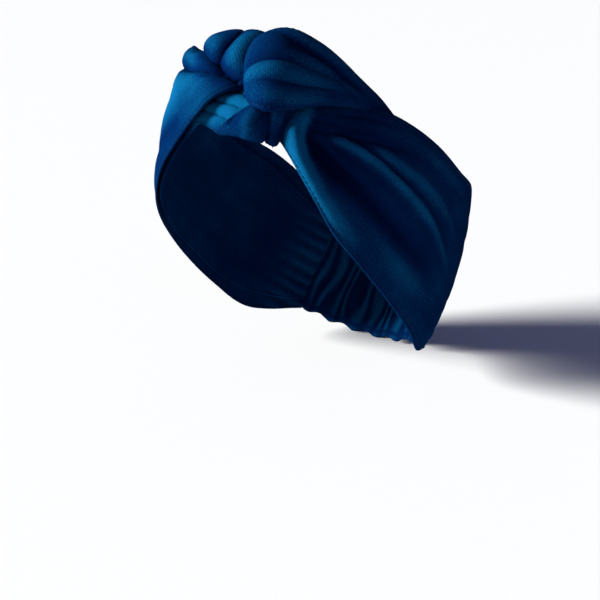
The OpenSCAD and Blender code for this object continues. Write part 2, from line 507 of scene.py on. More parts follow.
class NodeBook:
    """The nodes of one material or of the sky."""

    def __init__(self, tree: bpy.types.NodeTree) -> None:
        """Empties the tree that the nodes are added to."""
        self.tree = tree
        tree.nodes.clear()

    def node(self, kind: str, settings: dict, sockets: dict) -> bpy.types.Node:
        """Adds a node.

        Args:
            kind: The node's type name.
            settings: The node's properties, set first; "stops" fills a colour ramp.
            sockets: Input sockets by name or number, each with a number, a Value or a socket.

        Returns:
            The new node.
        """
        made = self.tree.nodes.new(kind)
        for key, value in settings.items():
            if key == "stops":
                ramp = made.color_ramp.elements
                while len(ramp) < len(value):
                    ramp.new(1.0)
                for stop, (position, colour) in zip(ramp, value):
                    stop.position = position
                    stop.color = (*colour, 1.0)
            else:
                setattr(made, key, value)
        for key, value in sockets.items():
            source = value.socket if isinstance(value, Value) else value
            if isinstance(source, Socket):
                self.tree.links.new(source, made.inputs[key])
            else:
                made.inputs[key].default_value = source
        return made


class Finish(NodeBook):
    """A material that is built node by node."""

    def __init__(self, name: str) -> None:
        """Starts an empty material with that name."""
        self.material = bpy.data.materials.new(name)
        self.material.use_nodes = True
        super().__init__(self.material.node_tree)

    def parts(self, place: Socket) -> list[Value]:
        """The three numbers of a place."""
        split = self.node("ShaderNodeSeparateXYZ", {}, {0: place})
        return [Value(self, split.outputs[k]) for k in range(3)]

    def cloth_place(self) -> Socket:
        """The place on the flat cloth, along and across it, in metres."""
        return self.node("ShaderNodeUVMap", {"uv_map": "Cloth"}, {}).outputs["UV"]

    def object_place(self) -> Socket:
        """The place in the frame, in metres."""
        return self.node("ShaderNodeTexCoord", {}, {}).outputs["Object"]

    def speckle(self, place: Socket, scale: float, detail: float = 2.0) -> Value:
        """Noise from 0 to 1 at a scale in cycles a metre."""
        sockets = {"Vector": place, "Scale": scale, "Detail": detail, "Roughness": 0.6}
        return Value(self, self.node("ShaderNodeTexNoise", {}, sockets).outputs[0])

    def blend(self, share: Value, low: "Colour | Socket", high: Colour) -> Socket:
        """Two colours mixed by a share from 0 to 1.

        Args:
            share: How much of the second colour shows.
            low: The first colour.
            high: The second colour.

        Returns:
            The mixed colour's socket.
        """
        first = (*low, 1.0) if isinstance(low, tuple) else low
        sockets = {0: share, 6: first, 7: (*high, 1.0)}
        return self.node("ShaderNodeMix", {"data_type": "RGBA"}, sockets).outputs[2]

    def close(
        self,
        colour: Socket,
        roughness: "Value | float",
        relief: Value,
        depth: float,
        fixed: dict[str, "float | tuple[float, ...]"],
    ) -> Material:
        """Ends the material in one shader.

        Args:
            colour: The base colour's socket.
            roughness: The roughness, or a value that varies.
            relief: The height that the bump follows.
            depth: The height's size in metres.
            fixed: Other sockets of the shader by name, which are the same all over.

        Returns:
            The material.
        """
        bump = self.node("ShaderNodeBump", {}, {"Strength": 1.0, "Distance": depth, "Height": relief})
        sockets = {"Base Color": colour, "Roughness": roughness, "Normal": bump.outputs[0], **fixed}
        shader = self.node("ShaderNodeBsdfPrincipled", {}, sockets)
        self.node("ShaderNodeOutputMaterial", {}, {"Surface": shader.outputs[0]})
        return self.material


@dataclass(frozen=True)
class Jersey:
    """Fine stretch jersey: columns of small V-shaped loops, softly brushed, with painted shade in its
    folds.
    """

    name: str = "Teal navy jersey"
    # sunk, plain and raised are the cloth's painted shade, middle tone and painted highlight, picked by the
    # fold attribute
    sunk: Colour = (0.0002, 0.0022, 0.018)
    plain: Colour = (0.0003, 0.0092, 0.045)
    raised: Colour = (0.0014, 0.060, 0.146)
    wale: float = 0.00090
    course: float = 0.00075
    relief: float = 0.00012
    level: float = 0.46
    fold_shade_share: float = 0.52
    broad_share: float = 0.4
    mottle_share: float = 0.5
    fuzz_share: float = 0.6
    knit_share: float = 0.14

    def make(self) -> Material:
        """Builds the material.

        Returns:
            The material, pale where the cloth is raised and worn and dark where it is sunk.
        """
        finish = Finish(self.name)
        cloth = finish.cloth_place()
        along, across, _ = finish.parts(cloth)
        column = (along / self.wale).fraction() - 0.5
        loops = (across / self.course + column.size() * 0.9).wave(1.0)
        ribs = 1.0 - (column.size() * 2.0).power(2.5)
        knit = ribs * 0.65 + loops * ribs * 0.35
        fuzz = finish.speckle(cloth, 2600.0, 3.0)
        broad = finish.speckle(finish.object_place(), 38.0, 3.0)
        mottle = finish.speckle(cloth, 850.0, 2.0)
        # Painted shade in creases and painted highlight on ridges, from the fold attribute, plus random
        # mottle of tone
        fold = finish.node("ShaderNodeAttribute", {"attribute_name": "fold"}, {})
        fold_shade_and_tone = Value(finish, fold.outputs["Fac"]) * self.fold_shade_share + self.level
        fold_shade_and_tone = fold_shade_and_tone + (broad - 0.5) * self.broad_share + (mottle - 0.5) * self.mottle_share
        fold_shade_and_tone = (fold_shade_and_tone + (fuzz - 0.5) * self.fuzz_share + (knit - 0.5) * self.knit_share).clamped()
        low = finish.blend((fold_shade_and_tone * 2.0).clamped(), self.sunk, self.plain)
        colour = finish.blend((fold_shade_and_tone * 2.0 - 1.0).clamped(), low, self.raised)
        rough = (0.72 + fuzz * 0.2 - fold_shade_and_tone * 0.06).clamped()
        sheen = {"Sheen Weight": 0.02, "Sheen Roughness": 0.45, "Sheen Tint": (0.02, 0.40, 0.95, 1.0)}
        height = knit * 0.8 + fuzz * 0.35
        return finish.close(colour, rough, height, self.relief, {"Specular IOR Level": 0.0, **sheen})


@dataclass(frozen=True)
class Thread:
    """Twisted polyester sewing thread, a shade lighter than the cloth."""

    name: str = "Teal thread"
    shade: Colour = (0.0002, 0.006, 0.028)
    light: Colour = (0.0006, 0.022, 0.070)
    twist: float = 0.0009
    relief: float = 0.00008

    def make(self) -> Material:
        """Builds the material.

        Returns:
            The material, with strands that wind round the thread.
        """
        finish = Finish(self.name)
        place = finish.object_place()
        x, y, z = finish.parts(place)
        strand = (x + y + z * 1.3).wave(self.twist)
        fuzz = finish.speckle(place, 5000.0)
        colour = finish.blend((strand * 0.7 + fuzz * 0.3).clamped(), self.shade, self.light)
        gloss = {"Specular IOR Level": 0.05, "Specular Tint": (0.1, 0.5, 1.0, 1.0)}
        sheen = {"Sheen Weight": 0.02, "Sheen Roughness": 0.4}
        rough = (0.42 + fuzz * 0.25).clamped()
        return finish.close(colour, rough, strand + fuzz * 0.3, self.relief, {**gloss, **sheen})


@dataclass(frozen=True)
class Elastic:
    """Woven elastic: rubber cords side by side under a fine crossing yarn."""

    name: str = "Charcoal elastic"
    groove: Colour = (0.006, 0.007, 0.010)
    cord: Colour = (0.030, 0.032, 0.040)
    rib: float = 0.0016
    yarn: float = 0.0007
    relief: float = 0.00030

    def make(self) -> Material:
        """Builds the material.

        Returns:
            The material, with its cords running round the head.
        """
        finish = Finish(self.name)
        place = finish.object_place()
        x, y, z = finish.parts(place)
        up = HEAD.axes()[2]
        rise = y * float(up[1]) + z * float(up[2])
        ribs = rise.wave(self.rib)
        yarn = (x + rise * 0.25).wave(self.yarn)
        fuzz = finish.speckle(place, 3000.0)
        colour = finish.blend((ribs * 0.6 + yarn * 0.2 + fuzz * 0.2).clamped(), self.groove, self.cord)
        fixed = {"Specular IOR Level": 0.35, "Sheen Weight": 0.1}
        return finish.close(colour, (0.6 + fuzz * 0.2).clamped(), ribs + yarn * 0.4, self.relief, fixed)


@dataclass(frozen=True)
class PaleFloor:
    """Matt pale board under the band."""

    name: str = "Pale board"
    shade: Colour = (0.77, 0.77, 0.77)
    light: Colour = (0.81, 0.81, 0.81)

    def make(self) -> Material:
        """Builds the material.

        Returns:
            The material, with a faint grain.
        """
        finish = Finish(self.name)
        grain = finish.speckle(finish.object_place(), 900.0)
        colour = finish.blend(grain, self.shade, self.light)
        return finish.close(colour, 0.85, grain, 0.00002, {"Specular IOR Level": 0.15})


# ---------------- Strips


@dataclass(frozen=True)
class Station:
    """A strip's section at one place along it: its two hems, its thickness and its arch."""

    crown: Place
    face: Place
    thickness: float
    arch: float = 0.0

    def row(self) -> list[float]:
        """The numbers of the station, for interpolation."""
        return [*self.crown, *self.face, self.thickness, self.arch]


def leg(turn: float, crown: float, face: float, lift: float, thickness: float = 1.8) -> Station:
    """A station of a strip that lies flat on the head."""
    return Station((turn, crown, lift), (turn, face, lift), thickness)


@dataclass
class Strip:
    """One wide strip of doubled jersey, from one end at the nape through the knot and back."""

    name: str
    stations: tuple[Station, ...]
    folds: tuple[Fold, ...]
    outward: float
    turn_over: float
    seed: float
    flat_width: float = 92.0
    step: float = 1.3
    points_across: int = 74
    hem_pull: float = 0.6
    hem_margin: float = 2.6
    skin_power: float = 3.0
    end_round: float = 1.5
    stitch_pitch: float = 2.9
    wrinkle_height: float = 0.45
    knot_wrinkle_height: float = 0.75
    seam_pleat: float = 7.5
    seam_pleat_height: float = 0.55
    seam_reach: float = 34.0
    shade_height: float = 2.6
    tops: dict[float, Array] = field(default_factory=dict)
    outs: Array | None = None

    def _rows(self, u: Array) -> Array:
        """Stations between the written ones, by a smooth cubic.

        Args:
            u: Station numbers, with fractions.

        Returns:
            One row of eight numbers for each.
        """
        table = np.array([s.row() for s in self.stations])
        last = len(table) - 1
        i = np.clip(np.floor(u).astype(int), 0, last - 1)
        t = (u - i)[:, None]
        a, b, c, d = (table[np.clip(i + k, 0, last)] for k in (-1, 0, 1, 2))
        return 0.5 * (
            2 * b + (c - a) * t + (2 * a - 5 * b + 4 * c - d) * t**2 + (3 * b - a - 3 * c + d) * t**3
        )

    def _middle(self, rows: Array, v: Array) -> tuple[Array, Array, Array]:
        """The strip's middle layer.

        Args:
            rows: The stations' numbers, one row for each.
            v: Places across the strip, from 0 at the crown hem to 1 at the face hem.

        Returns:
            Turns, rises and lifts.
        """
        crown, face = rows[:, None, 0:3], rows[:, None, 3:6]
        place = crown + (face - crown) * v[None, :, None]
        lift = place[..., 2] + rows[:, 7:8] * 4 * v * (1 - v)
        return place[..., 0], place[..., 1], lift

    def _even_stations(self) -> Array:
        """Spaces the rows of points evenly.

        Returns:
            Station numbers about one step apart along the strip's centre line.
        """
        last = len(self.stations) - 1
        u = np.linspace(0.0, last, 1200)
        centre = HEAD.place(*(p[:, 0] for p in self._middle(self._rows(u), np.array([0.5]))))
        along = distances(centre)
        return np.interp(np.linspace(0.0, along[-1], int(along[-1] / self.step)), along, u)

    def _wrinkles(self, along: Array, across: Array, calm: Array) -> Array:
        """Soft folds that run along the strip, which the cloth's pull leaves.

        Args:
            along: Distance of each row from the start, in millimetres.
            across: Distance of each point from the crown hem, in millimetres.
            calm: Height of the wrinkles for each row, in millimetres.

        Returns:
            Heights in millimetres.
        """
        soft = noise_over(along / 62.0, across / 10.0, self.seed)
        fine = noise_over(along / 30.0, across / 5.0, self.seed + 7.0)
        return (soft + 0.45 * fine) * calm[:, None]

    def _raised(self, rows: Array, u: Array, v: Array, middle: Array) -> Array:
        """Adds up the folds, the wrinkles and the pleats that the seams at the ends draw up.

        Args:
            rows: The stations' numbers, one row for each.
            u: The rows' station numbers.
            v: Places across the strip.
            middle: Points of the middle layer, in millimetres.

        Returns:
            Heights in millimetres, one for each point.
        """
        turn, rise, _ = self._middle(rows, v)
        on_head = HEAD.on_head(turn, rise)
        along, ends, _ = closing_ends(middle, self.end_round)
        raised = sum(fold.heights(on_head, u) for fold in self.folds)
        height = self.wrinkle_height + self.knot_wrinkle_height * smooth_step(rows[:, 6], 1.8, 4.0)
        spread = np.linalg.norm(middle[:, -1] - middle[:, 0], axis=-1) / self.flat_width
        calm = height * np.clip(spread, 0.0, 1.0) ** 1.5 * smooth_step(ends, 0.0, 20.0)
        raised = raised + self._wrinkles(along, v * self.flat_width, calm)
        pull = 1.0 - smooth_step(ends, 2.0, self.seam_reach)
        pleats = 1.0 + np.sin(rise * FULL_TURN / self.seam_pleat + 0.4 * np.sin(rise / 5.0))
        return raised + pull[:, None] * self.seam_pleat_height * pleats

    def skin(self) -> Skin:
        """Works out the strip's skin.

        Returns:
            The skin; the hems' lines are kept for the stitches.
        """
        v = drawn_to_hems(self.points_across, self.hem_pull)
        u = self._even_stations()
        rows = self._rows(u)
        middle = HEAD.place(*self._middle(rows, v))
        along, ends, closing = closing_ends(middle, self.end_round)
        raised = self._raised(rows, u, v, middle)
        side = self.outward * np.tanh((self.turn_over - u) / 0.35)
        middle = middle + self._normals(middle) * (raised * side[:, None])[..., None]

        half = rounded(v, self.skin_power) * rows[:, 6:7] / 2 * closing
        half = half + self._hem_relief(along, v) * closing
        normal = self._normals(middle)
        top, bottom = middle + normal * half[..., None], middle - normal * half[..., None]
        self.tops = {1.0: top, -1.0: bottom}
        self.outs = normal
        # The fold heights also go to the jersey as painted shade in creases and painted highlight on
        # ridges.
        shade = raised / self.shade_height
        return Skin.wrapped((top, bottom), (along, v * self.flat_width), (shade, shade))

    @staticmethod
    def _normals(points: Array) -> Array:
        """Directions square to a grid of points."""
        return unit(np.cross(np.gradient(points, axis=0), np.gradient(points, axis=1)))

    def _hem_relief(self, along: Array, v: Array) -> Array:
        """The groove that the hem's stitches pull, with a pucker at each stitch.

        Args:
            along: Distance of each row from the start, in millimetres.
            v: Places across the strip.

        Returns:
            Heights in millimetres.
        """
        edge = np.minimum(v, 1 - v) * self.flat_width
        pucker = 0.7 + 0.3 * np.cos(along * FULL_TURN / self.stitch_pitch)
        sunk = bell(edge, self.hem_margin, 0.8)[None, :] * 0.34 * pucker[:, None]
        return bell(edge, 0.9, 0.8)[None, :] * 0.18 - sunk

    def hem_lines(self, face: bool) -> Seam:
        """The lines that one hem's stitches follow, on both sides of the cloth.

        Args:
            face: True for the hem on the face side, and False for the one on the crown side.

        Returns:
            The two lines.
        """
        v = drawn_to_hems(self.points_across, self.hem_pull)
        edge = ((1 - v) if face else v) * self.flat_width
        column = int(np.abs(edge - self.hem_margin).argmin())
        keep = slice(3, -3)
        return [
            (skin[keep, column] + sign * self.outs[keep, column] * 0.1, sign * self.outs[keep, column])
            for sign, skin in self.tops.items()
        ]

    def build(self) -> Piece:
        """Builds the strip's mesh."""
        return self.skin().mesh(self.name)


KNOT, ROLL, LOWER_LEG = (4.5, 12.6), (4.5, 11.3), (14.6, 25.0)

LEFT_STATIONS = (
    leg(157.5, 9, -37, 1.5, 1.3),
    leg(141, 16, -48, 1.3),
    leg(122, 19, -52, 1.3),
    leg(98, 16, -48, 1.3),
    leg(78, 15, -38, 1.3),
    Station((64, 16.5, 1.6), (62, -14, 1.4), 2.0),
    Station((54, 19, 2.4), (52, 3, 2.3), 2.8),
    Station((45, 22.5, 3.8), (43, 11, 4.4), 4.0),
    Station((32, 23.5, 8.5), (31, 2, 11), 6.6),
    Station((20, 24, 16), (22.5, -9.5, 16.5), 8.6),
    Station((9, 23.5, 20), (16, -17, 20.5), 9.6, 2.5),
    Station((2, 17.5, 18.5), (13, -16, 19), 8.6, 3.0),
    Station((4, 6, 14.5), (10, -13, 13.5), 7.0, 3.0),
    Station((6, 1, 8), (10.5, -12, 7.5), 5.6),
    Station((12, 1, 4.2), (14, -16, 4), 4.2),
    Station((21, 10, 4), (20.5, -21.5, 3.4), 3.8),
    Station((31, 14, 4), (29.5, -31, 2.4), 3.0),
    Station((38, 13.5, 4.6), (36, -37, 2.5), 2.6),
    Station((44, 14, 6.6), (43, -42.5, 2.8), 2.4),
    Station((51, 16.5, 6.4), (51, -47, 3.9), 2.0),
    leg(62, 19.5, -50, 4.5),
    leg(77, 21, -53, 4.0),
    leg(99, 22, -56, 4.0),
    leg(122, 28, -58, 4.0),
    leg(141, 25, -58, 4.0),
    leg(157.5, 14, -42, 3.8, 1.3),
)

LEFT_FOLDS = (
    crease(1.3, ROLL, (6.5, -3.6, -1.5), (8, -2, -3.6), (9.5, -1, -4.4), (11.5, 0.6, -4.4),
        (14.4, 2.6, -4), (17.6, 5.2, -3.6), (21.6, 7.6, -3), (26, 9.8, -2), (31, 11.5, 0)),
    ridge(2.4, ROLL, (8, -7, 0.8), (11, -4.4, 1.6), (14.4, -1.8, 2), (17.6, 0.8, 2), (21.6, 3.6, 1.8),
        (26.3, 7, 1.4), (32, 10, 0)),
    crease(1.0, KNOT, (13.5, -6, -0.4), (17, -3.8, -1.6), (21, -0.2, -2), (25, 4, -1.6), (30, 8.2, 0)),
    ridge(1.4, KNOT, (13, 5, 0), (16, 7.4, 1.2), (20.4, 9.6, 1.8), (25, 11.6, 1.8), (31, 12, 1),
        (40, 14, 0)),
    ridge(2.8, KNOT, (9, 14.5, -0.5), (13, 14.4, -1.6), (17, 14.4, -2.8), (22.3, 15, -3.2),
        (28, 14.8, -2.4), (36, 15.6, 0)),
    ridge(2.2, KNOT, (8, 19, 0.4), (14, 19.4, 1.2), (20, 20, 1.5), (28, 20, 1.2), (38, 19, 0.7),
        (48, 18.5, 0)),
    ridge(3.0, KNOT, (16, -12, 0.6), (20, -8, 1.2), (24, -3, 1), (29, 4, 0)),
    ridge(3.4, LOWER_LEG, (23, -3, 2), (23, -7, 4.4), (23, -12, 5.8), (23.5, -16, 6.2), (25, -20, 6),
        (28, -25, 5), (32, -29.5, 4.2), (38, -35, 3.2), (45, -39, 2.4), (53, -42, 1.2), (64, -46, 0)),
    ridge(4.6, LOWER_LEG, (26, -12, -1.4), (31, -18, -2.8), (40, -22, -3), (51, -25, -2.4), (60, -27, -2),
        (74, -29, -1.8), (92, -30, -1.4), (112, -30, 0)),
    ridge(1.8, LOWER_LEG, (30, -11.5, 1), (34, -10, 1.8), (38, -9, 2.4), (45, -9, 2.6), (52, -9, 2.4),
        (59, -10, 2.1), (69, -11, 1.9), (82, -12, 2.0), (96, -15, 1.6), (110, -19, 1.1), (124, -24, 0)),
    ridge(1.6, LOWER_LEG, (36, -5, -1), (42, -6.5, -1.6), (50, -7, -2), (59, -7.5, -1.8),
        (69, -7.5, -1.4), (82, -8, -1), (96, -10, -0.7), (112, -14, 0)),
    crease(0.8, LOWER_LEG, (24, -6, -0.6), (30, -4, -1.2), (38, -1.5, -1.2), (46, 1, -0.8), (54, 3, 0)),
    crease(0.8, LOWER_LEG, (25, -9, -0.6), (31, -9.5, -1.3), (38, -12.5, -1.2), (47, -14.5, -1.1),
        (60, -16, -0.8), (80, -19, 0)),
    crease(0.9, LOWER_LEG, (26, -13, -0.6), (31, -14.5, -1.2), (38, -18, -1.2), (48, -21, -0.9),
        (62, -23, 0)),
    crease(0.8, LOWER_LEG, (33, 2, -0.5), (38, 5, -1.1), (45, 8, -1.0), (53, 11, -0.6), (62, 12, 0)),
    ridge(2.2, LOWER_LEG, (44, -4, 0.5), (50, -4, 1.3), (56, -3.5, 1.6), (66, -2.5, 1.4), (75, -2, 1.3),
        (88, -2, 1.1), (103, -4, 0.9), (120, -8, 0)),
    crease(1.4, LOWER_LEG, (32, -10, -1), (38, -6, -2), (42, -5, -2.4), (50, -1, -2), (59, 4, -1.3),
        (70, 7, 0)),
    ridge(4.0, LOWER_LEG, (50, 9, 0.4), (60, 12, 0.7), (78, 13, 0.8), (100, 14, 0.6), (124, 14, 0)),
    ridge(5.0, LOWER_LEG, (62, -38, 0), (78, -40, 1.1), (100, -42, 1.0), (126, -40, 0)),
)

OUTER_LEG, RISE_LEG = (0.6, 6.4), (3.5, 13.4)
BROW_WRAP, UNDER_LEG = (15.4, 20.6), (20.9, 27.0)

RIGHT_STATIONS = (
    leg(-157.5, 14, -42, 3.8, 1.3),
    leg(-141, 25, -58, 4.0),
    leg(-122, 28, -58, 4.0),
    leg(-98, 24, -56, 3.8),
    leg(-76, 22, -54, 3.6),
    Station((-60, 23, 3.9), (-54, -52, 3.5), 1.8),
    Station((-47, 23.5, 5.6), (-34, -48, 3.6), 1.8, 0.5),
    Station((-38, 20, 9), (-19, -37, 5.5), 2.0, 1.0),
    Station((-32.5, 17.5, 16.2), (-12, -30.5, 8), 2.2, 0.8),
    Station((-30.5, 17, 20.2), (-9, -26.5, 9.6), 2.2, 1.0),
    Station((-24.5, 15, 17), (-5, -21, 12.2), 3.4, 0.5),
    Station((-19, 17, 19.6), (-1.5, -14.5, 14.2), 5.0, 1.0),
    Station((-11, 19.5, 20.8), (4, -7, 14.4), 6.0),
    Station((-3, 21.5, 19), (7, -1, 11.5), 6.6),
    Station((7, 22, 14), (9, 4, 10.5), 6.0),
    Station((18, 14, 9.6), (12.5, 2, 11), 5.2),
    Station((21.5, 3, 8), (14, -5, 12), 5.0),
    Station((21.5, -7, 6.2), (13, -11, 14), 5.0, 1.5),
    Station((21, -14, 5.4), (9, -16, 15), 5.0, 2.5),
    Station((20.5, -20, 5), (5, -22, 12.5), 4.2, 2.5),
    Station((19, -23.5, 4.2), (2, -26, 7.5), 3.6, 1.8),
    Station((13, -10, 8), (0, -26, 3.4), 3.5),
    Station((7, 4, 9.5), (-4, -23.5, 2.8), 3.6),
    Station((-5, 6, 8.5), (-9, -22, 2.4), 3.4),
    Station((-14, 9, 4.5), (-15, -28, 2), 2.8),
    Station((-24, 13, 2.2), (-24, -41, 1.6), 2.0),
    leg(-38, 17, -49, 1.3),
    leg(-55, 17, -51, 1.3),
    leg(-76, 17, -52, 1.3),
    leg(-98, 18, -52, 1.3),
    leg(-122, 21, -53, 1.3),
    leg(-141, 17, -49, 1.3),
    leg(-157.5, 9, -37, 1.5, 1.3),
)

RIGHT_FOLDS = (
    crease(1.5, RISE_LEG, (-25, 16.5, -3), (-21, 13, -4.4), (-16, 8.5, -5), (-11, 4.2, -5.4),
        (-8, 1.5, -5.4), (-4.9, -0.6, -5), (-1.2, -2.3, -4.4), (3, -4, -3)),
    crease(1.5, RISE_LEG, (-6, 21, -1.2), (-6, 18.6, -2.6), (-5.8, 13.7, -4.4), (-5.8, 9.7, -5),
        (-5.8, 5.7, -5), (-5.3, 2.9, -5), (-4.1, 0.4, -4.6), (-2.3, -1.2, -4), (2, -4, -3)),
    crease(1.6, RISE_LEG, (-31, 4, -1), (-25, 3, -3.4), (-19, 0, -4.2), (-12.5, -2.3, -4.4),
        (-6.4, -4.3, -4.2), (-1.8, -5, -3.6), (3, -6, -2)),
    ridge(3.2, RISE_LEG, (-31, 14, 0.4), (-27, 11, 1.4), (-22, 7, 1.6), (-17, 3.5, 1.2), (-11, 0.5, 0.5)),
    ridge(4.0, RISE_LEG, (-18, 15, 0.6), (-14, 12, 1.6), (-10.5, 9.5, 1.8), (-8.5, 5, 1.4),
        (-6.5, 1.5, 0.6)),
    ridge(3.2, RISE_LEG, (-1, 18, 1), (-2, 13, 2), (-1.6, 8, 2.2), (-0.6, 3, 2), (1.4, -1, 1.2)),
    ridge(11.0, RISE_LEG, (-10, -10, 1.6), (-28, -10, 2.6), (-44, -12, 2.0), (-64, -12, 0.6)),
    ridge(4.0, RISE_LEG, (-16, -24, -0.8), (-28, -27, -1.2), (-42, -30, -1.0), (-62, -34, 0)),
    ridge(3.0, OUTER_LEG, (-44, 4, 0.8), (-56, 2, 1.4), (-72, 0, 1.6), (-90, -3, 1.4), (-110, -9, 0.8),
        (-126, -14, 0)),
    ridge(2.4, OUTER_LEG, (-50, 9, -0.8), (-64, 8, -1.2), (-82, 7, -0.9), (-104, 4, 0)),
    ridge(3.4, OUTER_LEG, (-46, 15, 0.5), (-60, 14, 1.1), (-80, 14, 1.3), (-104, 14, 0.8), (-126, 13, 0)),
    ridge(4.4, OUTER_LEG, (-50, -22, 0.5), (-66, -24, 1.2), (-84, -27, 1.4), (-106, -31, 0.8),
        (-126, -34, 0)),
    ridge(3.0, OUTER_LEG, (-52, -36, 0.2), (-70, -39, 1.0), (-92, -42, 0.9), (-120, -44, 0)),
    crease(1.0, BROW_WRAP, (11.5, -13, -2), (10.2, -14.6, -4.2), (8.3, -17.3, -4.6), (6.8, -21, -3.6),
        (6, -24, 0)),
    ridge(1.8, BROW_WRAP, (9.5, -13, 0.8), (7, -15.5, 1.7), (4.6, -18, 1.7), (3, -21, 0.4)),
    crease(1.0, BROW_WRAP, (13, -13, -1), (13.4, -16, -1.8), (12.6, -19.5, -1.4), (12, -22, 0)),
    crease(1.1, BROW_WRAP, (14.4, -11, -2), (14.8, -14, -3.6), (16.1, -17.2, -4.2), (16.6, -21.2, -3.2),
        (16.6, -24.3, -1.2), (16, -27, 0)),
    ridge(1.4, BROW_WRAP, (17.4, -10, 0.6), (17.4, -14, 1.4), (17.7, -18, 1.2), (18, -21, 0.3)),
    ridge(2.6, BROW_WRAP, (12.6, -12, 0.4), (12, -16, 1.0), (11.4, -20, 1.2), (11, -25, 0.6)),
    crease(1.1, BROW_WRAP, (18.8, -9, -1.6), (18.9, -12.4, -2.8), (19, -16.2, -2.4), (19, -19, -1.2),
        (18.6, -22, 0)),
    ridge(3.5, UNDER_LEG, (9, -5, 2.2), (4, -8, 2.6), (-2, -12, 2.6), (-6, -16, 2.2), (-10, -21, 1)),
    ridge(6.0, UNDER_LEG, (9, -13, 4.4), (3, -15, 4.2), (-3, -17, 3.2), (-9, -20, 1.6), (-16, -26, 0)),
    crease(1.2, UNDER_LEG, (-1.5, -5, -0.6), (0.2, -6, -2), (3.4, -7.4, -2.8), (7, -8.5, -2.4)),
    crease(1.2, UNDER_LEG, (-7, -12, -0.6), (-4.8, -12.4, -2), (1.1, -12.8, -3.0), (5.7, -13.6, -2.6),
        (9, -14, -2)),
    crease(1.2, UNDER_LEG, (-11, -15, -0.6), (-9.3, -15.5, -1.8), (-2, -17.3, -2.8), (2.2, -18.7, -2.4)),
)


# ---------------- Nape


@dataclass
class NapeCasing:
    """The gathered cloth tunnel at the nape, drawn up on the elastic inside it."""

    name: str = "nape_casing_cloth"
    start: float = 156.3
    rise: float = -14.0
    width: float = 56.0
    lift: float = 2.65
    thickness: float = 4.5
    hem_pull: float = 0.7
    end_round: float = 1.4
    edge: float = 3.0
    pleats: float = 13.0
    pleat_height: float = 1.15
    inner_share: float = 0.4
    shade_share: float = 0.6
    sway: float = 1.1
    flat_length: float = 180.0
    rows: int = 190
    points_across: int = 60
    outer: Array | None = None
    outs: Array | None = None

    def skin(self) -> Skin:
        """Works out the casing's pleated skin.

        Returns:
            The skin; its outer layer is kept for the stitches.
        """
        v = drawn_to_hems(self.points_across, self.hem_pull)
        share = np.linspace(0.0, 1.0, self.rows)
        turn = self.start + (360.0 - 2 * self.start) * share
        offset = self.width * (0.5 - v)
        turns, rises = np.broadcast_arrays(turn[:, None], (self.rise + offset)[None, :])
        middle = HEAD.place(turns, rises, np.full(turns.shape, self.lift))
        normal = HEAD.normals(HEAD.on_head(turns, rises))
        along, ends, closing = closing_ends(middle, self.end_round)

        out_pleat, in_pleat = self._pleats(share, v, 0.0), self._pleats(share, v, 3.0)
        calm = smooth_step(ends, 0.0, 5.0)[:, None] * 0.75 + 0.25
        half = rounded(v, 3.0) * self.thickness / 2 * closing
        outer = half + out_pleat * calm * closing
        inner = half + self.inner_share * in_pleat * calm * closing
        hems = (np.abs(2 * v - 1) ** 6)[None, :]
        sway = self.sway * np.sin(share * FULL_TURN * self.pleats * 0.5 + 0.7)[:, None] * hems
        up = HEAD.axes()[2]
        middle = middle + (sway * np.sign(0.5 - v))[..., None] * up * closing[..., None]
        top, bottom = middle + normal * outer[..., None], middle - normal * inner[..., None]
        self.outer, self.outs = top, normal
        # The pleats' heights also go to the jersey as painted shade in their hollows and painted highlight
        # on their tops.
        outer_fold, inner_fold = (self.shade_share * p / self.pleat_height for p in (out_pleat, in_pleat))
        flat = (share * self.flat_length, v * self.width)
        return Skin.wrapped((top, bottom), flat, (outer_fold, inner_fold))

    def _pleats(self, share: Array, v: Array, shift: float) -> Array:
        """Heights of the small pleats that the elastic draws up.

        Args:
            share: Place along the casing, from 0 to 1.
            v: Place across it, from 0 to 1.
            shift: Moves the pattern, so that the two sides differ.

        Returns:
            Heights in millimetres.
        """
        drift = noise_over(share * 9.0, v * 1.6, shift) * 1.1
        wave = np.cos(FULL_TURN * ((share * self.pleats)[:, None] + drift + 0.25 * shift))
        depth = 0.75 + 0.5 * noise_over(share * 14.0, v * 2.2, shift + 5.0)
        made = np.abs(wave) ** 0.8 * np.sign(wave) * depth
        edge = np.minimum(v, 1 - v) * self.width
        held = 1.0 - 0.72 * bell(edge, self.edge, 2.2)
        rim = 0.35 + 0.65 * smooth_step(edge, 0.0, 1.6)
        return made * self.pleat_height * held * rim - 0.45 * bell(edge, self.edge, 0.8)

    def build(self) -> Piece:
        """Builds the casing's mesh."""
        return self.skin().mesh(self.name)

    def edge_line(self, neck: bool) -> Seam:
        """The line of the stitches along one long edge.

        Args:
            neck: True for the neck side, and False for the crown side.

        Returns:
            The line.
        """
        v = drawn_to_hems(self.points_across, self.hem_pull)
        edge = ((1 - v) if neck else v) * self.width
        column = int(np.abs(edge - self.edge).argmin())
        return self._on_top((slice(5, -5), column))

    def cross_line(self, left: bool, margin: float) -> Seam:
        """The line of the stitches across one end.

        Args:
            left: True for the wearer's left end.
            margin: Distance from the end, in millimetres.

        Returns:
            The line.
        """
        along, _, _ = closing_ends(self.outer, self.end_round)
        place = margin if left else along[-1] - margin
        row = int(np.abs(along - place).argmin())
        return self._on_top((row, slice(4, -4)))

    def _on_top(self, where: tuple) -> Seam:
        """A line just above the outer layer, at some of its points."""
        return [(self.outer[where] + self.outs[where] * 0.12, self.outs[where])]


